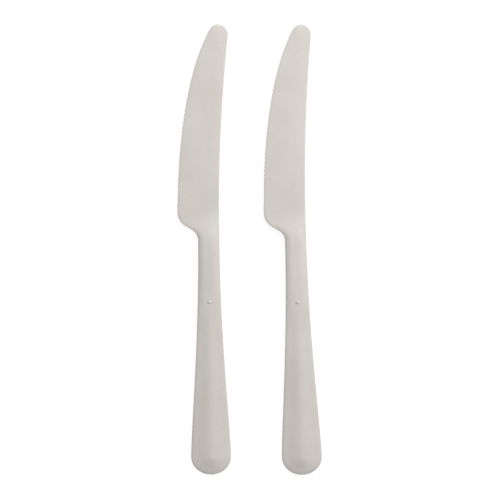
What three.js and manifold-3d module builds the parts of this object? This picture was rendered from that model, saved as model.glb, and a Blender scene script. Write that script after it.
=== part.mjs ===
// A pack of two alike moulded plastic table knives, lying face up side by side.
// Millimetres, +Z up. In a knife's own frame the handle's axis is the Y axis, with the butt end
// at y = 0 and the tip at y = LENGTH; the cutting edge is on the -X side and the spine on the +X side.
// The knife rests on z = 0, on the skirt of its cored handle and on the back of its blade.

import * as THREE from 'three';
import { mergeVertices } from 'three/addons/utils/BufferGeometryUtils.js';
import Module from 'manifold-3d';

// Outline of a knife, seen from above
const LENGTH = 185.2;
const BUTT_HALF_WIDTH = 8.16;
const BUTT_DEPTH = 7.2; // length of the half ellipse that closes the handle
const TAPER_PULL_AT_BUTT = 11.3; // how far the handle's sides keep straight past the butt
const TAPER_PULL_AT_NECK = 41.6;
const NECK_HALF_WIDTH = 4.31;
const NECK_END = 96.4; // where the edge side leaves the neck
const NECK_FILLET = 5;
const HEEL_ANGLE = THREE.MathUtils.degToRad(31); // the heel's slope, from straight across
const HEEL_RADIUS = 6.6;
const HEEL_REACH = 12.76; // from the handle's axis out to the heel
const EDGE_PULL_AT_HEEL = 28; // how far the cutting edge keeps its first direction
const EDGE_PULL_AT_TIP = 18;
const EDGE_LEAN_AT_TIP = THREE.MathUtils.degToRad(32);
const SPINE_START = 103.3; // where the spine starts to sweep back
const SPINE_RADIUS = 680;
const TIP_RADIUS = 3.95;

// Heights of a knife, seen from the side
const EDGE_THICKNESS = 1.7; // blade, beside the cutting bevel
const RIDGE_THICKNESS = 2; // blade, at its thickest line
const SPINE_THICKNESS = 1.88;
const RIDGE_BOW = 1; // how far the thickest line bows towards the spine
const NECK_HEIGHT = 3.5;
const GRIP_HEIGHT = 3.2;
const BUTT_HEIGHT = 3.1;
const BUTT_FALL = 0.2; // the face falls away by this much at the butt end
const BUTT_FALL_LENGTH = 4.5;
const RAMP_START = -0.5; // the ramp leaves the neck's height here, from the end of the neck
const RAMP_LENGTH = 16; // fall from the neck to the blade
const RAMP_SHARPNESS = 4; // how much of the fall lies in the ramp's first half
const RAMP_SLANT = 0.35; // the ramp runs ahead on the heel's side, by this share of the way out
const RAMP_TURN_X = -0.5; // where the slant begins, from the handle's axis
const RAMP_TURN_WIDTH = 1.5; // how softly it begins
const NECK_LENGTH = 13.6; // stretch of the neck that keeps its full height and flat top
const GRIP_BLEND = 28; // stretch over which the neck's section turns into the grip's

// Cross-sections
const LEFT_SHOULDER_WIDTH = 2.7; // rounded shoulder on each side of the neck's flat top
const RIGHT_SHOULDER_WIDTH = 3.3;
const SHOULDER_DROP = 0.85;
const SHOULDER_FADE = 7.8; // stretch past the start of the ramp over which the shoulders run out
const RIM_WIDTH = 2.3; // border round the raised middle of the grip
const RIM_DROP = 0.27;
const RIM_BOW = 0.24; // extra fall of the border, which grows towards its outer edge
const CROWN_SLOPE = 0.255; // fall of the raised middle towards its sides
const CROWN_ROUND = 1.6; // how softly its two sides meet along the middle
const ROUND_WIDTH = 0.45; // rounding along the top of the skirt and the spine
const ROUND_DROP = 0.4;
const BEVEL_WIDTH = 0.8; // narrow bevel along the cutting edge
const BEVEL_DROP = 0.16;
const SKIRT = 1.5; // thickness of the handle's side walls
const ROOF = 1.3; // thickness of the handle's top wall
const CORE_MARGIN = 1.4; // the hollow stops this far short of the end of the neck

// Serration: side by side scallops, each with a flute under it that slopes in to the back
const TOOTH_PITCH = 1.755;
const TOOTH_DEPTH = 0.23;
const SCALLOP_RADIUS = 2.1;
const EDGE_LAND = 0.35; // thickness of the edge at the bottom of a scallop
const FLUTE_RADIUS = 1.9;
const FLUTE_TILT = THREE.MathUtils.degToRad(36);
const FIRST_TOOTH = 4.15; // along the edge from the top of the heel
const LAST_TOOTH = 4; // along the edge from the start of the tip's round

// Mark where the plastic entered the mould
const GATE_AT = 71;
const GATE_HALF_WIDTH = 0.77;
const GATE_HALF_LENGTH = 0.6;
const GATE_HEIGHT = 0.4;

// The pair, as laid out
const BUTT_GAP = 21.2; // clear space between the two butt ends
const STAGGER = -0.12; // the right knife's butt end against the left one's, lengthways
const LEFT_LEAN = THREE.MathUtils.degToRad(0.631);
const RIGHT_LEAN = THREE.MathUtils.degToRad(1.679);

// Number of facets along each stretch of the outline
const BUTT_STEPS = 8;
const GRIP_STEPS = 16;
const FILLET_STEPS = 4;
const SLOPE_STEPS = 2;
const HEEL_STEPS = 5;
const BLADE_STEPS = 15;
const TIP_STEPS = 6;
const NOSE_STEPS = 4;
const INNER_STEPS = 3; // across, from the innermost ring to the middle
const FLUTE_FACETS = 22;
const SCALLOP_FACETS = 32;
const GATE_RINGS = 3;
const GATE_FACETS = 10;

const { clamp, lerp, smoothstep } = THREE.MathUtils;
const wasm = await Module();
wasm.setup();

function polar(radius, angle, centre) {
  return new THREE.Vector2(centre.x + radius * Math.cos(angle), centre.y + radius * Math.sin(angle));
}

// The spine's sweep touches the tip's circle from outside, at this angle of the circle
const spineCentre = new THREE.Vector2(NECK_HALF_WIDTH + SPINE_RADIUS, SPINE_START);
const spineAngle = -Math.asin((LENGTH - TIP_RADIUS - SPINE_START) / (SPINE_RADIUS + TIP_RADIUS));
const tipCentre = polar(SPINE_RADIUS + TIP_RADIUS, Math.PI + spineAngle, spineCentre);
const spineEnd = tipCentre.y + TIP_RADIUS * Math.sin(spineAngle);

function spineX(y) {
  const swept = Math.max(0, y - SPINE_START);
  return spineCentre.x - Math.sqrt(SPINE_RADIUS ** 2 - swept ** 2);
}

// The heel's two arcs and the slope between them, from the neck up to the heel's outermost point
const turn = Math.PI / 2 - HEEL_ANGLE;
const filletCentre = new THREE.Vector2(-NECK_HALF_WIDTH - NECK_FILLET, NECK_END);
const slopeStart = polar(NECK_FILLET, turn, filletCentre);
const slopeEnd = new THREE.Vector2(-HEEL_REACH + HEEL_RADIUS * (1 - Math.cos(turn)), 0);
slopeEnd.y = slopeStart.y + (slopeStart.x - slopeEnd.x) * Math.tan(HEEL_ANGLE);
const heelCentre = new THREE.Vector2(-HEEL_REACH + HEEL_RADIUS, slopeEnd.y + HEEL_RADIUS * Math.sin(turn));
const heelTop = new THREE.Vector2(-HEEL_REACH, heelCentre.y);

function heelSide() {
  const points = [];
  for (let i = 1; i <= FILLET_STEPS; i++) {
    points.push(polar(NECK_FILLET, (turn * i) / FILLET_STEPS, filletCentre));
  }
  for (let i = 1; i <= SLOPE_STEPS; i++) {
    points.push(slopeStart.clone().lerp(slopeEnd, i / SLOPE_STEPS));
  }
  for (let i = 1; i <= HEEL_STEPS; i++) {
    points.push(polar(HEEL_RADIUS, Math.PI + turn * (1 - i / HEEL_STEPS), heelCentre));
  }
  return points;
}

const edgeEnd = polar(TIP_RADIUS, Math.PI - EDGE_LEAN_AT_TIP, tipCentre);
const edgeCurve = new THREE.CubicBezierCurve(
  heelTop,
  new THREE.Vector2(heelTop.x, heelTop.y + EDGE_PULL_AT_HEEL),
  polar(EDGE_PULL_AT_TIP, -Math.PI / 2 - EDGE_LEAN_AT_TIP, edgeEnd),
  edgeEnd,
);

// The blade's thickest line, from the handle's axis to the centre of the tip
const ridge = new THREE.QuadraticBezierCurve(
  new THREE.Vector2(0, NECK_END),
  new THREE.Vector2(RIDGE_BOW, (NECK_END + tipCentre.y) / 2),
  tipCentre,
);

// One side of the handle: x is its half width at height y
const taper = new THREE.CubicBezierCurve(
  new THREE.Vector2(BUTT_HALF_WIDTH, BUTT_DEPTH),
  new THREE.Vector2(BUTT_HALF_WIDTH, BUTT_DEPTH + TAPER_PULL_AT_BUTT),
  new THREE.Vector2(NECK_HALF_WIDTH, NECK_END - TAPER_PULL_AT_NECK),
  new THREE.Vector2(NECK_HALF_WIDTH, NECK_END),
);

// A row runs from the left outline over a middle point to the right outline
function row(left, middle, right) {
  return { left, middle, right };
}

function evenRow(x, y, middleY) {
  return row(new THREE.Vector2(-x, y), new THREE.Vector2(0, middleY), new THREE.Vector2(x, y));
}

function buttRows() {
  const rows = [];
  for (let i = 0; i <= BUTT_STEPS; i++) {
    const a = ((i / BUTT_STEPS) * Math.PI) / 2;
    rows.push(evenRow(BUTT_HALF_WIDTH * Math.sin(a), BUTT_DEPTH * (1 - Math.cos(a)), BUTT_DEPTH));
  }
  return rows;
}

function gripRows() {
  return taper.getPoints(GRIP_STEPS).slice(1).map((p) => evenRow(p.x, p.y, p.y));
}

// Rows over the heel: the left ends follow its arcs while the others climb the same share of the way
const bladeRoot = heelTop.y + NECK_FILLET;

function heelRows() {
  const side = heelSide();
  return side.map((left, i) => {
    const share = (i + 1) / side.length;
    const y = lerp(NECK_END, bladeRoot, share);
    return row(left, ridgeAt(y), new THREE.Vector2(spineX(y), y));
  });
}

function ridgeAt(y) {
  return ridge.getPoint((y - NECK_END) / (tipCentre.y - NECK_END));
}

function bladeRows() {
  const rows = [];
  for (let i = 1; i <= BLADE_STEPS; i++) {
    const t = i / BLADE_STEPS;
    const spineY = lerp(bladeRoot, spineEnd, t);
    const middle = ridgeAt(lerp(bladeRoot, tipCentre.y, t));
    rows.push(row(edgeCurve.getPointAt(t), middle, new THREE.Vector2(spineX(spineY), spineY)));
  }
  return rows;
}

function tipRows() {
  const rows = [];
  const from = Math.PI - EDGE_LEAN_AT_TIP;
  const top = (from + spineAngle) / 2;
  for (let i = 1; i <= TIP_STEPS; i++) {
    const t = i / TIP_STEPS;
    const left = polar(TIP_RADIUS, lerp(from, top, t), tipCentre);
    rows.push(row(left, tipCentre, polar(TIP_RADIUS, lerp(spineAngle, top, t), tipCentre)));
  }
  return rows;
}

// Unit vectors pointing into the shape, for the left and right ends of every row
function addNormals(rows) {
  const last = rows.length - 1;
  const loop = [...rows.map((r) => r.right), ...rows.slice(1, last).reverse().map((r) => r.left)];
  const count = loop.length;
  const inward = loop.map((p, i) => {
    const before = p.clone().sub(loop[(i + count - 1) % count]).normalize();
    const after = loop[(i + 1) % count].clone().sub(p).normalize();
    const along = before.add(after).normalize();
    return new THREE.Vector2(-along.y, along.x);
  });
  rows.forEach((r, i) => {
    r.rightIn = inward[i];
    r.leftIn = i === 0 || i === last ? inward[i] : inward[count - i];
  });
  return rows;
}

const knifeRows = addNormals([...buttRows(), ...gripRows(), ...heelRows(), ...bladeRows(), ...tipRows()]);

// Share of the way from the neck to the blade. The ramp falls quickly at first and then runs out gently
const rampTop = NECK_END + RAMP_START;

function onBlade(x, y) {
  const fromTurn = x - RAMP_TURN_X;
  const ahead = (RAMP_SLANT * (Math.hypot(fromTurn, RAMP_TURN_WIDTH) - fromTurn)) / 2;
  const t = clamp((y + ahead - rampTop) / RAMP_LENGTH, 0, 1);
  return 1 - (1 - t ** 2) ** RAMP_SHARPNESS;
}

// Share of the way from the neck to the grip
const onGrip = (y) => 1 - smoothstep(y, NECK_END - NECK_LENGTH - GRIP_BLEND, NECK_END - NECK_LENGTH);

// Quarter round that falls by drop over the last stretch of width before the outline
function round(distance, width, drop) {
  const short = 1 - Math.min(1, distance / width);
  return drop * (1 - Math.sqrt(1 - short ** 2));
}

function crestHeight(y) {
  const grip = lerp(BUTT_HEIGHT, GRIP_HEIGHT, smoothstep(y, 0, NECK_END / 3));
  const endFall = BUTT_FALL * Math.max(0, 1 - y / BUTT_FALL_LENGTH) ** 2;
  return lerp(NECK_HEIGHT, grip, onGrip(y)) - endFall;
}

function handleTop(y, distance, halfWidth) {
  const near = 1 - Math.min(1, distance / RIM_WIDTH);
  const rimFall = RIM_DROP * near + RIM_BOW * near ** 2;
  const fromMiddle = halfWidth - Math.max(distance, RIM_WIDTH);
  const crownFall = CROWN_SLOPE * (Math.hypot(fromMiddle, CROWN_ROUND) - CROWN_ROUND);
  return crestHeight(y) - (rimFall + crownFall) * onGrip(y) - round(distance, ROUND_WIDTH, ROUND_DROP);
}

// What the neck's rounded shoulders take off its flat top; share is 1 where they have their full drop
function shoulderFall(y, distance, side, share) {
  const width = side < 0 ? LEFT_SHOULDER_WIDTH : RIGHT_SHOULDER_WIDTH;
  const near = 1 - Math.min(1, distance / width);
  return SHOULDER_DROP * share * (1 - onGrip(y)) * near ** 2;
}

function bladeTop(distance, halfWidth, side) {
  const rim = side < 0 ? EDGE_THICKNESS : SPINE_THICKNESS;
  const thickness = RIDGE_THICKNESS - (RIDGE_THICKNESS - rim) * (1 - distance / halfWidth) ** 1.5;
  if (side > 0) return thickness - round(distance, ROUND_WIDTH, ROUND_DROP);
  return thickness - BEVEL_DROP * (1 - Math.min(1, distance / BEVEL_WIDTH));
}

// Height of the upper face at a point that lies a distance in from the left (-1) or right (+1) outline
function topHeight(point, distance, halfWidth, side, outlineY) {
  const inside = Math.min(distance, halfWidth);
  const handle = handleTop(point.y, inside, halfWidth);
  const face = lerp(handle, bladeTop(inside, halfWidth, side), onBlade(point.x, point.y));
  const share = 1 - smoothstep(outlineY, rampTop, rampTop + SHOULDER_FADE);
  return face - shoulderFall(point.y, inside, side, share);
}

// Points of one half of a row, from the outline to the middle, as { point, distance, halfWidth }
function halfRow(end, inward, middle, offsets, inner) {
  const halfWidth = end.distanceTo(middle);
  const points = offsets.map((distance) => {
    return { point: inward.clone().multiplyScalar(distance).add(end), distance };
  });
  const from = points[points.length - 1];
  for (let i = 1; i <= inner; i++) {
    const share = i / inner;
    const point = from.point.clone().lerp(middle, share);
    points.push({ point, distance: lerp(from.distance, halfWidth, share) });
  }
  return points.map((p) => ({ ...p, halfWidth }));
}

// A closed solid over the rows: the upper face follows height, the walls are upright and the floor is flat
function loft(rows, offsets, inner, height, floor) {
  const positions = [];
  const lines = rows.map((r) => {
    const left = halfRow(r.left, r.leftIn, r.middle, offsets, inner);
    const right = halfRow(r.right, r.rightIn, r.middle, offsets, inner);
    const leftTop = left.map((p) => new THREE.Vector3(p.point.x, p.point.y, height(p, -1, r.left.y)));
    const rightTop = right.map((p) => new THREE.Vector3(p.point.x, p.point.y, height(p, 1, r.right.y)));
    rightTop[rightTop.length - 1] = leftTop[leftTop.length - 1];
    return [...leftTop, ...rightTop.slice(0, -1).reverse()];
  });
  const width = lines[0].length;
  for (const end of [lines[0], lines[lines.length - 1]]) {
    for (let j = 0; j < width; j++) end[j] = end[Math.min(j, width - 1 - j)];
  }
  const face = (a, b, c) => positions.push(...a, ...b, ...c);
  for (let i = 0; i + 1 < lines.length; i++) {
    for (let j = 0; j + 1 < width; j++) {
      const [a, b, c, d] = [lines[i][j], lines[i][j + 1], lines[i + 1][j + 1], lines[i + 1][j]];
      face(a, b, c);
      face(a, c, d);
    }
  }
  const rightRim = lines.map((line) => line[width - 1]);
  const leftRim = lines.slice(1, -1).reverse().map((line) => line[0]);
  const rim = [...rightRim, ...leftRim];
  const foot = rim.map((p) => new THREE.Vector3(p.x, p.y, floor));
  rim.forEach((p, i) => {
    const next = (i + 1) % rim.length;
    face(foot[i], foot[next], rim[next]);
    face(foot[i], rim[next], p);
  });
  const contour = foot.map((p) => new THREE.Vector2(p.x, p.y));
  const floorFaces = THREE.ShapeUtils.triangulateShape(contour, []);
  for (const [a, b, c] of floorFaces) face(foot[a], foot[c], foot[b]);
  const geometry = new THREE.BufferGeometry();
  geometry.setAttribute('position', new THREE.Float32BufferAttribute(positions, 3));
  return toManifold(geometry);
}

function toManifold(geometry) {
  const bare = geometry.clone();
  bare.deleteAttribute('normal');
  bare.deleteAttribute('uv');
  const merged = mergeVertices(bare, 1e-5);
  const index = merged.index.array;
  const kept = [];
  for (let i = 0; i < index.length; i += 3) {
    const [a, b, c] = [index[i], index[i + 1], index[i + 2]];
    if (a !== b && b !== c && c !== a) kept.push(a, b, c);
  }
  const vertProperties = new Float32Array(merged.attributes.position.array);
  return new wasm.Manifold(new wasm.Mesh({ numProp: 3, vertProperties, triVerts: new Uint32Array(kept) }));
}

function toGeometry(solid) {
  const mesh = solid.getMesh();
  const geometry = new THREE.BufferGeometry();
  geometry.setAttribute('position', new THREE.BufferAttribute(new Float32Array(mesh.vertProperties), 3));
  geometry.setIndex(new THREE.BufferAttribute(new Uint32Array(mesh.triVerts), 1));
  geometry.computeVertexNormals();
  return geometry;
}

function makeBody() {
  const offsets = [0, ROUND_WIDTH / 4, BEVEL_WIDTH, (BEVEL_WIDTH + RIM_WIDTH) / 2, RIM_WIDTH];
  const height = (p, side, outlineY) => topHeight(p.point, p.distance, p.halfWidth, side, outlineY);
  return loft(knifeRows, offsets, INNER_STEPS, height, 0);
}

// The hollow under the handle: the outline drawn in by the skirt, closed at the neck by a round nose
function makeCore() {
  const inner = NECK_HALF_WIDTH - SKIRT;
  const noseCentre = NECK_END - CORE_MARGIN - inner;
  const rows = addNormals([...buttRows(), ...gripRows()]).filter((r) => r.left.y < noseCentre - inner / 2);
  rows.forEach((r) => {
    r.left = r.leftIn.clone().multiplyScalar(SKIRT).add(r.left);
    r.right = r.rightIn.clone().multiplyScalar(SKIRT).add(r.right);
  });
  for (let i = 0; i <= NOSE_STEPS; i++) {
    const a = (i / NOSE_STEPS) * (Math.PI / 2);
    const x = i === NOSE_STEPS ? 0 : inner * Math.cos(a);
    rows.push(evenRow(x, noseCentre + inner * Math.sin(a), noseCentre));
  }
  addNormals(rows);
  const height = (p, side) => {
    const halfWidth = p.halfWidth + SKIRT;
    const inside = Math.min(p.distance + SKIRT, halfWidth);
    return handleTop(p.point.y, inside, halfWidth) - shoulderFall(p.point.y, inside, side, 1) - ROOF;
  };
  return loft(rows, [0], INNER_STEPS, height, -ROOF);
}

// The cutter of one tooth gap: an upright bar for the scallop, and a tilted one whose upper side is
// the roof of the flute
function makeToothGap(distance) {
  const t = distance / edgeCurve.getLength();
  const at = edgeCurve.getPointAt(t);
  const along = edgeCurve.getTangentAt(t);
  const inward = new THREE.Vector3(along.y, -along.x, 0);
  const scallopAt = new THREE.Vector3(at.x, at.y, 0).addScaledVector(inward, TOOTH_DEPTH - SCALLOP_RADIUS);
  const scallopHeight = 4 * RIDGE_THICKNESS;
  const scallop = new THREE.CylinderGeometry(SCALLOP_RADIUS, SCALLOP_RADIUS, scallopHeight, SCALLOP_FACETS);
  const facetToEdge = Math.atan2(inward.y, inward.x) + Math.PI / SCALLOP_FACETS;
  scallop.rotateX(Math.PI / 2).rotateZ(facetToEdge).translate(...scallopAt);
  const edgeTop = EDGE_THICKNESS - BEVEL_DROP * (1 - TOOTH_DEPTH / BEVEL_WIDTH);
  const length = 3 * FLUTE_RADIUS;
  const axis = inward.clone().multiplyScalar(Math.cos(FLUTE_TILT)).setZ(-Math.sin(FLUTE_TILT));
  const up = inward.clone().multiplyScalar(Math.sin(FLUTE_TILT)).setZ(Math.cos(FLUTE_TILT));
  const centre = new THREE.Vector3(at.x, at.y, edgeTop - EDGE_LAND)
    .addScaledVector(inward, TOOTH_DEPTH)
    .addScaledVector(up, -FLUTE_RADIUS)
    .addScaledVector(axis, length / 6);
  const flute = new THREE.CylinderGeometry(FLUTE_RADIUS, FLUTE_RADIUS, length, FLUTE_FACETS);
  const across = new THREE.Vector3().crossVectors(axis, up);
  flute.applyMatrix4(new THREE.Matrix4().makeBasis(across, axis, up).setPosition(centre));
  return toManifold(scallop).add(toManifold(flute));
}

// A low oval dome, on a stem that is sunk in the roof
function makeGateMark() {
  const profile = [];
  for (let i = 0; i <= GATE_RINGS; i++) {
    const a = (i / GATE_RINGS) * (Math.PI / 2);
    const radius = i === GATE_RINGS ? 0 : Math.cos(a);
    profile.push(new THREE.Vector2(radius, GATE_HEIGHT * Math.sin(a)));
  }
  const sunk = ROOF / 4;
  const stem = [new THREE.Vector2(0, -sunk), new THREE.Vector2(1, -sunk)];
  const lathe = new THREE.LatheGeometry([...stem, ...profile], GATE_FACETS);
  lathe.rotateX(Math.PI / 2).scale(GATE_HALF_WIDTH, GATE_HALF_LENGTH, 1);
  lathe.translate(0, GATE_AT, crestHeight(GATE_AT));
  return toManifold(lathe);
}

function makeKnife() {
  let knife = makeBody().subtract(makeCore());
  const end = edgeCurve.getLength() - LAST_TOOTH;
  for (let along = FIRST_TOOTH; along <= end; along += TOOTH_PITCH) {
    knife = knife.subtract(makeToothGap(along));
  }
  return toGeometry(knife.add(makeGateMark()));
}

function makePlastic() {
  const color = new THREE.Color().setRGB(0.83, 0.81, 0.785, THREE.SRGBColorSpace);
  return new THREE.MeshStandardMaterial({ color, roughness: 0.5, metalness: 0 });
}

const knifeShape = makeKnife();

function placedKnife(name, x, y, lean) {
  const knife = new THREE.Mesh(knifeShape, makePlastic());
  knife.name = name;
  knife.position.set(x, y, 0);
  knife.rotation.z = lean;
  return knife;
}

const pack = new THREE.Group();
pack.add(placedKnife('left_knife', 0, 0, LEFT_LEAN));
pack.add(placedKnife('right_knife', 2 * BUTT_HALF_WIDTH + BUTT_GAP, STAGGER, RIGHT_LEAN));

// The origin is at the middle of the pair's extent, on the surface it lies on
const extent = new THREE.Box3().setFromObject(pack, true);
const middle = extent.getCenter(new THREE.Vector3());
for (const knife of pack.children) knife.position.sub(new THREE.Vector3(middle.x, middle.y, 0));

export default pack;
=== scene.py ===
"""Two alike moulded plastic table knives, lying face up side by side on a white surface.

A knife is worked out in its own frame, in millimetres: y = 0 at the butt end, +Y along the handle's
axis towards the tip, the cutting edge on the -X side, and z = 0 the surface it lies on. The studio
and the finished meshes are in metres.
"""

import math

import bmesh
import bpy
import numpy as np
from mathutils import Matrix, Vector


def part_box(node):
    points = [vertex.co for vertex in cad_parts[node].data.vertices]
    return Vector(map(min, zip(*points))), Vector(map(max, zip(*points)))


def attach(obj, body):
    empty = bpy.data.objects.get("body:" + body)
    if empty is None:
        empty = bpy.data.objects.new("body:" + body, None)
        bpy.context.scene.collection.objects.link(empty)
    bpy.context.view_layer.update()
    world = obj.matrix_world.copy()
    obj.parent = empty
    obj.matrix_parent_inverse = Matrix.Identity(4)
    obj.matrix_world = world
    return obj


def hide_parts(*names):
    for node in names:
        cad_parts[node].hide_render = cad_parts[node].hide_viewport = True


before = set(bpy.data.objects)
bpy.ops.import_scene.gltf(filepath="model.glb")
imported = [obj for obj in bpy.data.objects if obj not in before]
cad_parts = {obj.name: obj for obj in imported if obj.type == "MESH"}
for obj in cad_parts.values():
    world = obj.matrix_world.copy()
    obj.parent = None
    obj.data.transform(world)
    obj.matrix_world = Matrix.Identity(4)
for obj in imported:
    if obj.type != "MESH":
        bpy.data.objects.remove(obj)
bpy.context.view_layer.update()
MM = 0.001

# Outline of a knife, seen from above
LENGTH = 185.2
BUTT_HALF_WIDTH = 8.16
BUTT_DEPTH = 7.2  # length of the half ellipse that closes the handle
TAPER_PULL_AT_BUTT = 11.3  # how far the handle's sides keep straight past the butt
TAPER_PULL_AT_NECK = 41.6
NECK_HALF_WIDTH = 4.31
NECK_END = 96.4  # where the edge side leaves the neck
NECK_FILLET = 5
HEEL_ANGLE = math.radians(31)  # the heel's slope, from straight across
HEEL_RADIUS = 6.6
HEEL_REACH = 12.76  # from the handle's axis out to the heel
EDGE_PULL_AT_HEEL = 28  # how far the cutting edge keeps its first direction
EDGE_PULL_AT_TIP = 18
EDGE_LEAN_AT_TIP = math.radians(32)
SPINE_START = 103.3  # where the spine starts to sweep back
SPINE_RADIUS = 680
TIP_RADIUS = 3.95

# Heights of a knife, seen from the side
EDGE_THICKNESS = 1.7  # blade, beside the cutting bevel
RIDGE_THICKNESS = 2  # blade, at its thickest line
SPINE_THICKNESS = 1.88
RIDGE_BOW = 1  # how far the thickest line bows towards the spine
NECK_HEIGHT = 3.5
GRIP_HEIGHT = 3.2
BUTT_HEIGHT = 3.1
BUTT_FALL = 0.2  # the face falls away by this much at the butt end
BUTT_FALL_LENGTH = 4.5
RAMP_START = -0.5  # the ramp leaves the neck's height here, from the end of the neck
RAMP_LENGTH = 16  # fall from the neck to the blade
RAMP_SHARPNESS = 4  # how much of the fall lies in the ramp's first half
RAMP_SLANT = 0.35  # the ramp runs ahead on the heel's side, by this share of the way out
RAMP_TURN_X = -0.5  # where the slant begins, from the handle's axis
RAMP_TURN_WIDTH = 1.5  # how softly it begins
NECK_LENGTH = 13.6  # stretch of the neck that keeps its full height and flat top
GRIP_BLEND = 28  # stretch over which the neck's section turns into the grip's

# Cross-sections
LEFT_SHOULDER_WIDTH = 2.7  # rounded shoulder on each side of the neck's flat top
RIGHT_SHOULDER_WIDTH = 3.3
SHOULDER_DROP = 0.85
SHOULDER_FADE = 7.8  # stretch past the start of the ramp over which the shoulders run out
RIM_WIDTH = 2.3  # border round the raised middle of the grip
RIM_DROP = 0.27
RIM_BOW = 0.24  # extra fall of the border, which grows towards its outer edge
CROWN_SLOPE = 0.255  # fall of the raised middle towards its sides
CROWN_ROUND = 1.6  # how softly its two sides meet along the middle
ROUND_WIDTH = 0.45  # rounding along the top of the skirt and the spine
ROUND_DROP = 0.4
BEVEL_WIDTH = 0.8  # narrow bevel along the cutting edge
BEVEL_DROP = 0.16
SKIRT = 1.5  # thickness of the handle's side walls
ROOF = 1.3  # thickness of the handle's top wall
CORE_MARGIN = 1.4  # the hollow stops this far short of the end of the neck
CORE_ROUND = 0.35  # the hollow's wall curves into its roof over this width
FOOT_ROUND = 0.12  # small round along the bottom of the outer wall

# Serration: side by side scallops, each with a flute under it that slopes in to the back
TOOTH_PITCH = 1.755
TOOTH_DEPTH = 0.23
SCALLOP_RADIUS = 2.1
EDGE_LAND = 0.35  # thickness of the edge at the bottom of a scallop
FLUTE_RADIUS = 1.9
FLUTE_TILT = math.radians(36)
FIRST_TOOTH = 4.15  # along the edge from the top of the heel
LAST_TOOTH = 4  # along the edge from the start of the tip's round

# Mark where the plastic entered the mould
GATE_AT = 71
GATE_HALF_WIDTH = 0.77
GATE_HALF_LENGTH = 0.6
GATE_HEIGHT = 0.4

# The pair
LEFT_LEAN = math.radians(0.631)
RIGHT_LEAN = math.radians(1.679)

# Mesh density
BUTT_ROWS = 28
GRIP_STEP = 0.8
GATE_STEP = 0.12
GATE_ZONE = 1.2  # the rows keep to the gate step this far on both sides of the mark
HEEL_ROWS_PER_PART = (24, 12, 30)  # fillet, slope and heel
ROWS_PER_TOOTH = 10
TIP_ROWS = 36
TAPER_SAMPLES = 2000
EDGE_SAMPLES = 4000
# The points of a row: distances in from the outline, then shares of the way on to the middle
OFFSETS = (0, 0.03, 0.08, 0.15, 0.25, 0.36, 0.48, 0.65, 0.95, 1.3, 1.6, 1.66, 1.76, 1.95, 2.2)
INNER_SHARES = (0.2, 0.38, 0.54, 0.66, 0.75, 0.8, 0.84, 0.88, 0.92, 0.96, 1)
WALL_LEVELS = 3  # faces one above the other in the outer wall
MERGE_DISTANCE = 1e-8  # metres
CREASE_ANGLE = math.radians(40)

# Plastic. A noise is given by its scale per metre, its detail and its roughness
PLASTIC_DARKEST = (0.642, 0.603, 0.562, 1)
PLASTIC_LIGHTEST = (0.682, 0.645, 0.604, 1)
PLASTIC_IOR = 1.47
CLOUD_NOISE = (70, 3, 0.55)
CLOUD_RANGE = (0.3, 0.7)  # noise values of the darkest and the lightest tone
SPECK_NOISE = (900, 2, 0.5)
SPECK_SHARE = 0.06
GLOSS_NOISE = (260, 4, 0.6)
ROUGHNESS_RANGE = (0.38, 0.52)
GRAIN_NOISE = (1600, 3, 0.6)
GRAIN_STRENGTH = 0.15
GRAIN_DEPTH = 0.04 * MM

# Studio
WHITE = (1, 1, 1, 1)
SKY_STRENGTH = 0.29
KEY_PLACE = (0.38, 0.585, 0.76)
KEY_SIZE = 0.575
KEY_POWER = 9.85
FLOOR_HALF_WIDTH = 0.8
FLOOR_DROP = 0.03 * MM  # keeps the floor clear of the knives' flat backs
FLOOR_PAPER = (0.82, 0.82, 0.82, 1)  # the floor as it lights the knives
FLOOR_SHADED = (0.13, 0.13, 0.13, 1)  # the floor as it is seen: this much takes shadow,
FLOOR_GLOW = 0.91  # and this much shines whatever falls on it

# Camera, which looks straight down
PICTURE_WIDTH = 205.5 * MM  # across the picture, at the level of the knives' faces
FACE_LEVEL = 2 * MM
EYE_X = 0.16 * MM  # the pair lies this far off the middle of the picture
EYE_Y = 0.01 * MM
FOCAL_LENGTH = 100  # this and the sensor are in millimetres of the camera
SENSOR_WIDTH = 36


def lerp(a, b, t):
    return a + (b - a) * t


def smoothstep(v, low, high):
    t = np.clip((v - low) / (high - low), 0, 1)
    return t * t * (3 - 2 * t)


def polar(radius, angle, centre):
    return np.stack([centre[0] + radius * np.cos(angle), centre[1] + radius * np.sin(angle)], -1)


def points_at(x, y):
    """Points at the given heights y, where x is one number or as many as there are heights."""
    return np.stack([np.broadcast_to(x, np.shape(y)), y], -1)


def bezier(points, t):
    """Points of a cubic or quadratic Bezier curve at every t."""
    degree = len(points) - 1
    t = np.asarray(t, float)[..., None]
    terms = [math.comb(degree, i) * (1 - t) ** (degree - i) * t ** i * np.asarray(p, float)
             for i, p in enumerate(points)]
    return sum(terms)


# The spine's sweep touches the tip's circle from outside, at this angle of the circle
SPINE_CENTRE = (NECK_HALF_WIDTH + SPINE_RADIUS, SPINE_START)
SPINE_ANGLE = -math.asin((LENGTH - TIP_RADIUS - SPINE_START) / (SPINE_RADIUS + TIP_RADIUS))
TIP_CENTRE = polar(SPINE_RADIUS + TIP_RADIUS, math.pi + SPINE_ANGLE, SPINE_CENTRE)
SPINE_END = TIP_CENTRE[1] + TIP_RADIUS * math.sin(SPINE_ANGLE)

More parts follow.
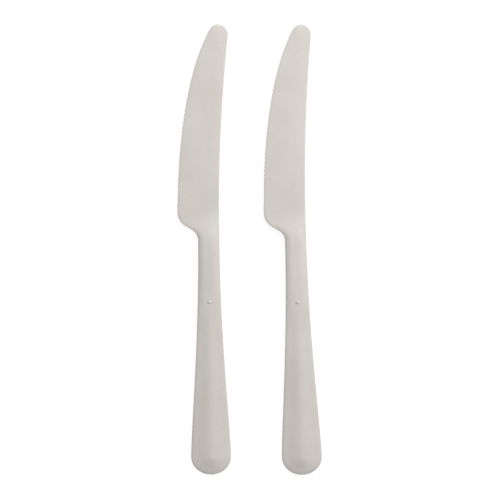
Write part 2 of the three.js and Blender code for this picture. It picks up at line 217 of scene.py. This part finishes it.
# The heel's two arcs and the slope between them, from the neck up to the heel's outermost point
TURN = math.pi / 2 - HEEL_ANGLE
FILLET_CENTRE = (-NECK_HALF_WIDTH - NECK_FILLET, NECK_END)
SLOPE_START = polar(NECK_FILLET, TURN, FILLET_CENTRE)
SLOPE_END_X = -HEEL_REACH + HEEL_RADIUS * (1 - math.cos(TURN))
SLOPE_END = np.array([SLOPE_END_X, SLOPE_START[1] + (SLOPE_START[0] - SLOPE_END_X) * math.tan(HEEL_ANGLE)])
HEEL_CENTRE = (-HEEL_REACH + HEEL_RADIUS, SLOPE_END[1] + HEEL_RADIUS * math.sin(TURN))
HEEL_TOP = np.array([-HEEL_REACH, HEEL_CENTRE[1]])
BLADE_ROOT = HEEL_TOP[1] + NECK_FILLET

EDGE_END = polar(TIP_RADIUS, math.pi - EDGE_LEAN_AT_TIP, TIP_CENTRE)
EDGE_CURVE = (
    HEEL_TOP,
    HEEL_TOP + (0, EDGE_PULL_AT_HEEL),
    polar(EDGE_PULL_AT_TIP, -math.pi / 2 - EDGE_LEAN_AT_TIP, EDGE_END),
    EDGE_END,
)

# The blade's thickest line, from the handle's axis to the centre of the tip
RIDGE_CURVE = ((0, NECK_END), (RIDGE_BOW, (NECK_END + TIP_CENTRE[1]) / 2), TIP_CENTRE)

# One side of the handle: x is its half width at height y
TAPER_CURVE = (
    (BUTT_HALF_WIDTH, BUTT_DEPTH),
    (BUTT_HALF_WIDTH, BUTT_DEPTH + TAPER_PULL_AT_BUTT),
    (NECK_HALF_WIDTH, NECK_END - TAPER_PULL_AT_NECK),
    (NECK_HALF_WIDTH, NECK_END),
)


def edge_table():
    """The cutting edge's points and their distances along it."""
    points = bezier(EDGE_CURVE, np.linspace(0, 1, EDGE_SAMPLES))
    steps = np.hypot(*np.diff(points, axis=0).T)
    return points, np.concatenate([[0], np.cumsum(steps)])


EDGE_POINTS, EDGE_ALONG = edge_table()
EDGE_LENGTH = EDGE_ALONG[-1]


def spine_x(y):
    swept = np.maximum(0, y - SPINE_START)
    return SPINE_CENTRE[0] - np.sqrt(SPINE_RADIUS ** 2 - swept ** 2)


def ridge_at(y):
    return bezier(RIDGE_CURVE, (y - NECK_END) / (TIP_CENTRE[1] - NECK_END))


def butt_rows():
    """Rows over the butt end. A row runs across, from the left outline over a middle point to the right.

    This and the next functions give the left, middle and right points of their rows.
    """
    a = np.linspace(0, math.pi / 2, BUTT_ROWS + 1)
    x, y = BUTT_HALF_WIDTH * np.sin(a), BUTT_DEPTH * (1 - np.cos(a))
    return points_at(-x, y), points_at(0.0, np.full_like(y, BUTT_DEPTH)), points_at(x, y)


def grip_rows():
    """Rows over the taper of the handle, closer together at the gate mark."""
    gate = GATE_AT + np.arange(-GATE_ZONE, GATE_ZONE + GATE_STEP / 2, GATE_STEP)
    below = np.linspace(BUTT_DEPTH, gate[0], round((gate[0] - BUTT_DEPTH) / GRIP_STEP) + 1)[1:-1]
    above = np.linspace(gate[-1], NECK_END, round((NECK_END - gate[-1]) / GRIP_STEP) + 1)[1:]
    y = np.concatenate([below, gate, above])
    curve = bezier(TAPER_CURVE, np.linspace(0, 1, TAPER_SAMPLES))
    x = np.interp(y, curve[:, 1], curve[:, 0])
    return points_at(-x, y), points_at(0.0, y), points_at(x, y)


def heel_rows():
    """Rows over the heel. The left ends follow its arcs while the others climb the same share."""
    fillet, slope, heel = HEEL_ROWS_PER_PART
    left = np.concatenate([
        polar(NECK_FILLET, TURN * np.arange(1, fillet + 1) / fillet, FILLET_CENTRE),
        lerp(SLOPE_START, SLOPE_END, (np.arange(1, slope + 1) / slope)[:, None]),
        polar(HEEL_RADIUS, math.pi + TURN * (1 - np.arange(1, heel + 1) / heel), HEEL_CENTRE),
    ])
    y = lerp(NECK_END, BLADE_ROOT, np.arange(1, len(left) + 1) / len(left))
    return left, ridge_at(y), points_at(spine_x(y), y)


def blade_rows():
    """The rows of the blade, and how far along the cutting edge each of them starts."""
    count = round(EDGE_LENGTH / TOOTH_PITCH * ROWS_PER_TOOTH)
    t = np.arange(1, count + 1) / count
    along = t * EDGE_LENGTH
    left = np.stack([np.interp(along, EDGE_ALONG, EDGE_POINTS[:, k]) for k in (0, 1)], -1)
    y = lerp(BLADE_ROOT, SPINE_END, t)
    middle = ridge_at(lerp(BLADE_ROOT, TIP_CENTRE[1], t))
    return left, middle, points_at(spine_x(y), y), along


def tip_rows():
    """Rows over the tip, which share its centre and close at its end."""
    t = np.arange(1, TIP_ROWS + 1) / TIP_ROWS
    start = math.pi - EDGE_LEAN_AT_TIP
    top = (start + SPINE_ANGLE) / 2
    left = polar(TIP_RADIUS, lerp(start, top, t), TIP_CENTRE)
    right = polar(TIP_RADIUS, lerp(SPINE_ANGLE, top, t), TIP_CENTRE)
    return left, np.broadcast_to(TIP_CENTRE, left.shape), right


def knife_rows():
    """All rows from the butt to the tip, and how far along the cutting edge each starts, nan off it."""
    *blade, blade_along = blade_rows()
    parts = [butt_rows(), grip_rows(), heel_rows(), blade, tip_rows()]
    left, middle, right = (np.concatenate([part[end] for part in parts]) for end in range(3))
    along = np.full(len(left), np.nan)
    first = sum(len(part[0]) for part in parts[:3])
    along[first:first + len(blade_along)] = blade_along
    return left, middle, right, along


def inward_normals(left, right):
    """Unit vectors into the shape at each row's left and right end."""
    loop = np.concatenate([right, left[-2:0:-1]])
    after = np.roll(loop, -1, axis=0) - loop
    after /= np.hypot(*after.T)[:, None]
    along = after + np.roll(after, 1, axis=0)
    along /= np.hypot(*along.T)[:, None]
    inward = np.stack([-along[:, 1], along[:, 0]], -1)
    count = len(left)
    left_in = np.concatenate([inward[:1], inward[:count - 2:-1]])
    return left_in, inward[:count]


def tooth_place(along):
    """How far each place along the edge is from the middle of its tooth gap."""
    last = math.floor((EDGE_LENGTH - LAST_TOOTH - FIRST_TOOTH) / TOOTH_PITCH)
    nearest = np.clip(np.round((along - FIRST_TOOTH) / TOOTH_PITCH), 0, last)
    return along - (FIRST_TOOTH + nearest * TOOTH_PITCH)


def scallop_depth(u):
    """How far the serrated outline lies inside the smooth one, u from the middle of a tooth gap."""
    reach = np.sqrt(np.maximum(0, SCALLOP_RADIUS ** 2 - u ** 2))
    return np.maximum(0, TOOTH_DEPTH - SCALLOP_RADIUS + reach)


def flute_roof(u, v):
    """Height of a flute's roof, u along the edge from its middle and v in from the smooth outline."""
    edge_top = EDGE_THICKNESS - BEVEL_DROP * (1 - TOOTH_DEPTH / BEVEL_WIDTH)
    arch = np.sqrt(np.maximum(0, FLUTE_RADIUS ** 2 - u ** 2)) - FLUTE_RADIUS
    fall = (v - TOOTH_DEPTH) * math.sin(FLUTE_TILT)
    return edge_top - EDGE_LAND + (arch - fall) / math.cos(FLUTE_TILT)


def round_fall(distance, width, drop):
    """Quarter round that falls by drop over the last stretch of width before the outline."""
    short = 1 - np.minimum(1, distance / width)
    return drop * (1 - np.sqrt(1 - short ** 2))


def on_blade(x, y):
    """Share of the way down the ramp to the blade. The ramp ends sooner on the heel's side."""
    from_turn = x - RAMP_TURN_X
    ahead = RAMP_SLANT * (np.hypot(from_turn, RAMP_TURN_WIDTH) - from_turn) / 2
    t = np.clip((y + ahead - NECK_END - RAMP_START) / RAMP_LENGTH, 0, 1)
    return 1 - (1 - t ** 2) ** RAMP_SHARPNESS


def on_grip(y):
    """Share of the way from the neck to the grip."""
    return 1 - smoothstep(y, NECK_END - NECK_LENGTH - GRIP_BLEND, NECK_END - NECK_LENGTH)


def crest_height(y):
    """Height of the handle along its middle."""
    grip = lerp(BUTT_HEIGHT, GRIP_HEIGHT, smoothstep(y, 0, NECK_END / 3))
    end_fall = BUTT_FALL * np.maximum(0, 1 - y / BUTT_FALL_LENGTH) ** 2
    return lerp(NECK_HEIGHT, grip, on_grip(y)) - end_fall


def handle_top(y, distance, half_width):
    """Height of the handle's face, without the shoulders, a distance in from the outline."""
    near = 1 - np.minimum(1, distance / RIM_WIDTH)
    rim_fall = RIM_DROP * near + RIM_BOW * near ** 2
    from_middle = half_width - np.maximum(distance, RIM_WIDTH)
    crown_fall = CROWN_SLOPE * (np.hypot(from_middle, CROWN_ROUND) - CROWN_ROUND)
    fall = (rim_fall + crown_fall) * on_grip(y)
    return crest_height(y) - fall - round_fall(distance, ROUND_WIDTH, ROUND_DROP)


def shoulder_fall(y, distance, side, share):
    """What the neck's rounded shoulders take off its flat top, where share 1 is their full drop."""
    width = LEFT_SHOULDER_WIDTH if side < 0 else RIGHT_SHOULDER_WIDTH
    near = 1 - np.minimum(1, distance / width)
    return SHOULDER_DROP * share * (1 - on_grip(y)) * near ** 2


def blade_top(distance, half_width, side):
    """Height of the blade's face, with the bevel on the edge's side and the round on the spine's."""
    rim = EDGE_THICKNESS if side < 0 else SPINE_THICKNESS
    share = 1 - np.minimum(1, distance / half_width)
    thickness = RIDGE_THICKNESS - (RIDGE_THICKNESS - rim) * share ** 1.5
    if side > 0:
        return thickness - round_fall(distance, ROUND_WIDTH, ROUND_DROP)
    return thickness - BEVEL_DROP * (1 - np.minimum(1, distance / BEVEL_WIDTH))


def gate_rise(x, y):
    """Height of the low oval dome of the gate mark."""
    from_centre = np.hypot(x / GATE_HALF_WIDTH, (y - GATE_AT) / GATE_HALF_LENGTH)
    return GATE_HEIGHT * np.sqrt(np.maximum(0, 1 - from_centre ** 2))


def top_height(x, y, distance, half_width, side, outline_y):
    """Height of the upper side, a distance in from the left (-1) or right (+1) outline."""
    inside = np.minimum(distance, half_width)
    ramp_top = NECK_END + RAMP_START
    share = 1 - smoothstep(outline_y, ramp_top, ramp_top + SHOULDER_FADE)
    handle = handle_top(y, inside, half_width) + gate_rise(x, y)
    face = lerp(handle, blade_top(inside, half_width, side), on_blade(x, y))
    return face - shoulder_fall(y, inside, side, share)


def core_depth(x, y, distance):
    """How far a point lies inside the outline of the handle's hollow. Past its round nose it is outside."""
    inner = NECK_HALF_WIDTH - SKIRT
    nose = NECK_END - CORE_MARGIN - inner
    to_nose = inner - np.hypot(x, np.maximum(0, y - nose))
    inside = np.where(y < nose, distance - SKIRT, np.minimum(distance - SKIRT, to_nose))
    return np.where(y < nose + inner, inside, -1)


def bottom_height(x, y, distance, half_width, side, along):
    """Height of the under side: the hollow of the handle, the flutes of the teeth and the foot's round."""
    inside = np.minimum(distance, half_width)
    roof = handle_top(y, inside, half_width) - shoulder_fall(y, inside, side, 1) - ROOF
    curve = 1 - (1 - np.clip(core_depth(x, y, distance) / CORE_ROUND, 0, 1)) ** 3
    height = np.maximum(round_fall(distance, FOOT_ROUND, FOOT_ROUND), roof * curve)
    if side < 0:
        u = tooth_place(along)
        flute = np.where(np.abs(u) < TOOTH_PITCH, flute_roof(u, distance), 0)
        height = np.maximum(height, np.where(np.isfinite(along), flute, 0))
    return height


def half_rows(end, inward, middle, cut):
    """Points from the outline in to the middle, and how far in from the smooth outline each lies.

    The tooth gaps cut into the outline, and the points near it give way to them.
    """
    half_width = np.hypot(*(middle - end).T)
    points, distances = [], []
    for offset in OFFSETS:
        distance = offset + cut * max(0.0, 1 - offset / BEVEL_WIDTH)
        points.append(end + inward * distance[:, None])
        distances.append(distance)
    start, start_distance = points[-1], distances[-1]
    for share in INNER_SHARES:
        points.append(lerp(start, middle, share))
        distances.append(lerp(start_distance, half_width, share))
    return np.stack(points, 1), np.stack(distances, 1), half_width[:, None]


def whole_rows(left, right):
    """Rows from the left outline to the right one, out of halves that both end in the middle."""
    return np.concatenate([left, right[:, -2::-1]], 1)


def knife_grids():
    """Points of the upper and the under side, row by row from the butt to the tip."""
    left, middle, right, along = knife_rows()
    left_in, right_in = inward_normals(left, right)
    gaps = np.where(np.isfinite(along), scallop_depth(tooth_place(np.nan_to_num(along))), 0)
    no_gaps = np.zeros(len(right))
    tops, bottoms = [], []
    for side, end, inward, cut in ((-1, left, left_in, gaps), (1, right, right_in, no_gaps)):
        points, distance, half_width = half_rows(end, inward, middle, cut)
        x, y = points[..., 0], points[..., 1]
        top = top_height(x, y, distance, half_width, side, end[:, 1][:, None])
        bottom = bottom_height(x, y, distance, half_width, side, along[:, None])
        tops.append(np.stack([x, y, top], -1))
        bottoms.append(np.stack([x, y, bottom], -1))
    return whole_rows(*tops), whole_rows(*bottoms)


def placed(grids, lean, box):
    """Turns a knife by its lean and fits it to its node's box, in millimetres.

    Its height is left as it is, unless it would stand out of the box.
    """
    turn = np.array([[math.cos(lean), math.sin(lean), 0], [-math.sin(lean), math.cos(lean), 0], [0, 0, 1]])
    turned = [grid @ turn for grid in grids]
    every = np.concatenate([grid.reshape(-1, 3) for grid in turned])
    low, high = every.min(0), every.max(0)
    box_low, box_high = (np.array(corner) / MM for corner in box)
    scale = (box_high - box_low) / (high - low)
    scale[2] = min(1, scale[2])
    return [(grid - low) * scale + box_low for grid in turned]


def build_mesh(name, top, bottom):
    """A closed mesh: both grids folded shut at their first and last rows, and a wall round the rim."""
    rows, width = top.shape[:2]
    index = np.arange(rows * width).reshape(rows, width)
    for end in (0, rows - 1):
        index[end] = np.minimum(index[end], index[end][::-1])
    to_bottom = rows * width

    rim = [(i, width - 1) for i in range(rows)] + [(i, 0) for i in range(rows - 2, 0, -1)]
    rim_rows, rim_columns = np.array(rim).T
    rim_top, rim_bottom = top[rim_rows, rim_columns], bottom[rim_rows, rim_columns]
    vertices = [top.reshape(-1, 3), bottom.reshape(-1, 3)]
    levels = [index[rim_rows, rim_columns]]
    count = 2 * to_bottom
    for level in range(1, WALL_LEVELS):
        vertices.append(lerp(rim_top, rim_bottom, level / WALL_LEVELS))
        levels.append(np.arange(count, count + len(rim)))
        count += len(rim)
    levels.append(levels[0] + to_bottom)

    a, b, c, d = index[:-1, :-1], index[:-1, 1:], index[1:, 1:], index[1:, :-1]
    up = np.stack([a, b, c, d], -1).reshape(-1, 4)
    down = up[:, ::-1] + to_bottom
    walls = [np.stack([high, low, np.roll(low, -1), np.roll(high, -1)], -1)
             for high, low in zip(levels, levels[1:])]
    corners = [list(dict.fromkeys(face)) for face in np.concatenate([up, down, *walls]).tolist()]
    faces = [face for face in corners if len(face) > 2]

    mesh = bpy.data.meshes.new(name)
    mesh.from_pydata((np.concatenate(vertices) * MM).tolist(), [], faces)
    mesh.validate()
    return mesh


def clean_mesh(mesh):
    """Joins the points that coincide, drops those that no face uses, and marks the creases."""
    bm = bmesh.new()
    bm.from_mesh(mesh)
    bmesh.ops.remove_doubles(bm, verts=bm.verts, dist=MERGE_DISTANCE)
    loose = [v for v in bm.verts if not v.link_faces]
    bmesh.ops.delete(bm, geom=loose, context="VERTS")
    bmesh.ops.recalc_face_normals(bm, faces=bm.faces)
    bm.to_mesh(mesh)
    bm.free()
    mesh.shade_smooth()
    mesh.set_sharp_from_angle(angle=CREASE_ANGLE)


def plastic_material():
    """Satin off-white moulded plastic, a little uneven in tone and gloss, with a fine grain."""
    material = bpy.data.materials.new("knife_plastic_satin")
    material.use_nodes = True
    nodes, links = material.node_tree.nodes, material.node_tree.links
    shader = nodes["Principled BSDF"]
    shader.inputs["IOR"].default_value = PLASTIC_IOR
    place = nodes.new("ShaderNodeTexCoord")

    def noise(scale, detail, roughness):
        node = nodes.new("ShaderNodeTexNoise")
        node.inputs["Scale"].default_value = scale
        node.inputs["Detail"].default_value = detail
        node.inputs["Roughness"].default_value = roughness
        links.new(place.outputs["Object"], node.inputs["Vector"])
        return node.outputs["Fac"]

    tone = nodes.new("ShaderNodeValToRGB")
    colours = (PLASTIC_DARKEST, PLASTIC_LIGHTEST)
    for stop, position, colour in zip(tone.color_ramp.elements, CLOUD_RANGE, colours):
        stop.position = position
        stop.color = colour
    links.new(noise(*CLOUD_NOISE), tone.inputs["Fac"])

    specks = noise(*SPECK_NOISE)
    grey = nodes.new("ShaderNodeCombineColor")
    for channel in ("Red", "Green", "Blue"):
        links.new(specks, grey.inputs[channel])
    speckled = nodes.new("ShaderNodeMix")
    speckled.data_type = "RGBA"
    speckled.blend_type = "MULTIPLY"
    speckled.inputs["Factor"].default_value = SPECK_SHARE
    links.new(tone.outputs["Color"], speckled.inputs["A"])
    links.new(grey.outputs["Color"], speckled.inputs["B"])
    links.new(speckled.outputs["Result"], shader.inputs["Base Color"])

    gloss = nodes.new("ShaderNodeMapRange")
    gloss.inputs["To Min"].default_value, gloss.inputs["To Max"].default_value = ROUGHNESS_RANGE
    links.new(noise(*GLOSS_NOISE), gloss.inputs["Value"])
    links.new(gloss.outputs["Result"], shader.inputs["Roughness"])

    grain = nodes.new("ShaderNodeBump")
    grain.inputs["Strength"].default_value = GRAIN_STRENGTH
    grain.inputs["Distance"].default_value = GRAIN_DEPTH
    links.new(noise(*GRAIN_NOISE), grain.inputs["Height"])
    links.new(grain.outputs["Normal"], shader.inputs["Normal"])
    return material


def add_knife(name, node, mesh, material):
    piece = bpy.data.objects.new(name, mesh)
    bpy.context.collection.objects.link(piece)
    mesh.materials.append(material)
    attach(piece, "root")
    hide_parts(node)


def seen_directly(nodes, links):
    """1 for the rays that see the white surroundings: from the camera, in gloss or through glass."""
    path = nodes.new("ShaderNodeLightPath")
    total = path.outputs["Is Camera Ray"]
    for name in ("Is Glossy Ray", "Is Transmission Ray"):
        either = nodes.new("ShaderNodeMath")
        either.operation = "MAXIMUM"
        links.new(total, either.inputs[0])
        links.new(path.outputs[name], either.inputs[1])
        total = either.outputs["Value"]
    return total


def floor_material():
    """White paper: seen as white, with a light soft shadow."""
    material = bpy.data.materials.new("white_floor")
    material.use_nodes = True
    nodes, links = material.node_tree.nodes, material.node_tree.links
    nodes.remove(nodes["Principled BSDF"])
    paper = nodes.new("ShaderNodeBsdfDiffuse")
    paper.inputs["Color"].default_value = FLOOR_PAPER
    shaded = nodes.new("ShaderNodeBsdfDiffuse")
    shaded.inputs["Color"].default_value = FLOOR_SHADED
    glow = nodes.new("ShaderNodeEmission")
    glow.inputs["Strength"].default_value = FLOOR_GLOW
    white = nodes.new("ShaderNodeAddShader")
    links.new(shaded.outputs["BSDF"], white.inputs[0])
    links.new(glow.outputs["Emission"], white.inputs[1])
    which = nodes.new("ShaderNodeMixShader")
    links.new(seen_directly(nodes, links), which.inputs["Fac"])
    links.new(paper.outputs["BSDF"], which.inputs[1])
    links.new(white.outputs["Shader"], which.inputs[2])
    links.new(which.outputs["Shader"], nodes["Material Output"].inputs["Surface"])
    return material


def add_floor():
    half = FLOOR_HALF_WIDTH
    mesh = bpy.data.meshes.new("floor")
    corners = [(-half, -half, 0), (half, -half, 0), (half, half, 0), (-half, half, 0)]
    mesh.from_pydata(corners, [], [(0, 1, 2, 3)])
    mesh.materials.append(floor_material())
    floor = bpy.data.objects.new("floor", mesh)
    floor.location.z = -FLOOR_DROP
    bpy.context.collection.objects.link(floor)


def add_world():
    """An even soft light from all round, which is seen as white."""
    world = bpy.data.worlds.new("studio")
    bpy.context.scene.world = world
    world.use_nodes = True
    nodes, links = world.node_tree.nodes, world.node_tree.links
    light = nodes["Background"]
    light.inputs["Color"].default_value = WHITE
    light.inputs["Strength"].default_value = SKY_STRENGTH
    white = nodes.new("ShaderNodeBackground")
    white.inputs["Color"].default_value = WHITE
    which = nodes.new("ShaderNodeMixShader")
    links.new(seen_directly(nodes, links), which.inputs["Fac"])
    links.new(light.outputs["Background"], which.inputs[1])
    links.new(white.outputs["Background"], which.inputs[2])
    links.new(which.outputs["Shader"], nodes["World Output"].inputs["Surface"])


def add_key_light():
    """A softbox past the tips, to the right, which looks at the middle of the pair."""
    light = bpy.data.lights.new("key", "AREA")
    light.shape = "SQUARE"
    light.size = KEY_SIZE
    light.energy = KEY_POWER
    lamp = bpy.data.objects.new("key", light)
    lamp.location = KEY_PLACE
    lamp.rotation_euler = (-Vector(KEY_PLACE)).to_track_quat("-Z", "Y").to_euler()
    bpy.context.collection.objects.link(lamp)


def add_camera():
    camera = bpy.data.cameras.new("camera")
    camera.lens = FOCAL_LENGTH
    camera.sensor_width = SENSOR_WIDTH
    eye = bpy.data.objects.new("camera", camera)
    eye.location = (EYE_X, EYE_Y, PICTURE_WIDTH * FOCAL_LENGTH / SENSOR_WIDTH + FACE_LEVEL)
    bpy.context.collection.objects.link(eye)
    bpy.context.scene.camera = eye


def main():
    bpy.context.scene.view_settings.view_transform = "Standard"
    material = plastic_material()
    grids = knife_grids()
    for node, lean in (("left_knife", LEFT_LEAN), ("right_knife", RIGHT_LEAN)):
        mesh = build_mesh(node + "_mesh", *placed(grids, lean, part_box(node)))
        clean_mesh(mesh)
        add_knife(node + "_moulding", node, mesh, material)
    add_floor()
    add_world()
    add_key_light()
    add_camera()


main()
